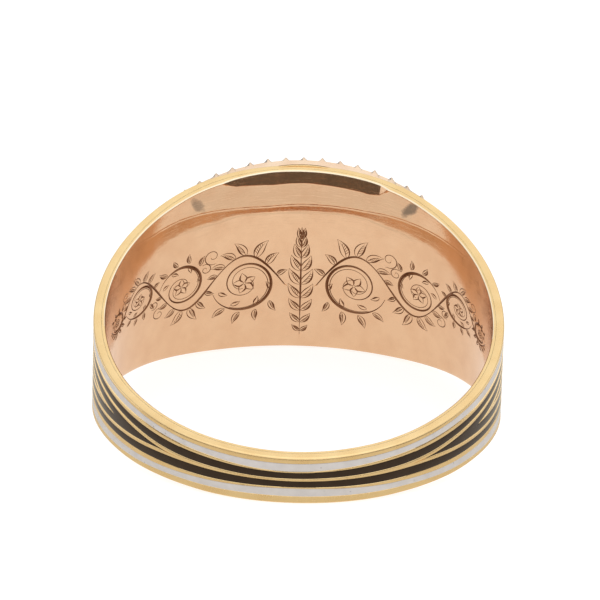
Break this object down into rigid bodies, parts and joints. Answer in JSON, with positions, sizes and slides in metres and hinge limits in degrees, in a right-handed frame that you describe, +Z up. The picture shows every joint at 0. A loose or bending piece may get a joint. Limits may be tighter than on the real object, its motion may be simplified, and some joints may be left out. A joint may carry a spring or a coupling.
{
  "type": "mourning ring",
  "caption": "Enamelled gold finger ring whose band widens to an oval glazed head with a toothed collet, lying on its side.",
  "frame": {"origin": "centre of the bounding box on the floor that the ring lies on", "axes": "+Z up from the floor, +Y towards the ring's head, +X along the head's oval; the finger hole's axis leans 11.3 degrees back from +Z"},
  "size_m": [0.0188, 0.0202, 0.0099],
  "materials": {
    "yellow_gold": "polished",
    "rose_gold": "satin",
    "white_enamel": "gloss",
    "black_enamel": "gloss",
    "panel": "satin",
    "crystal": "polished"
  },
  "bodies": {
    "root": {"band": "yellow_gold", "lining": "rose_gold", "white_stripe_upper": "white_enamel", "white_stripe_lower": "white_enamel", "black_stripe_upper": "black_enamel", "black_stripe_lower": "black_enamel", "black_chevron_left": "black_enamel", "black_chevron_right": "black_enamel", "black_point_left": "black_enamel", "black_point_right": "black_enamel", "panel": "panel", "crystal": "crystal"}
  },
  "joints": []
}
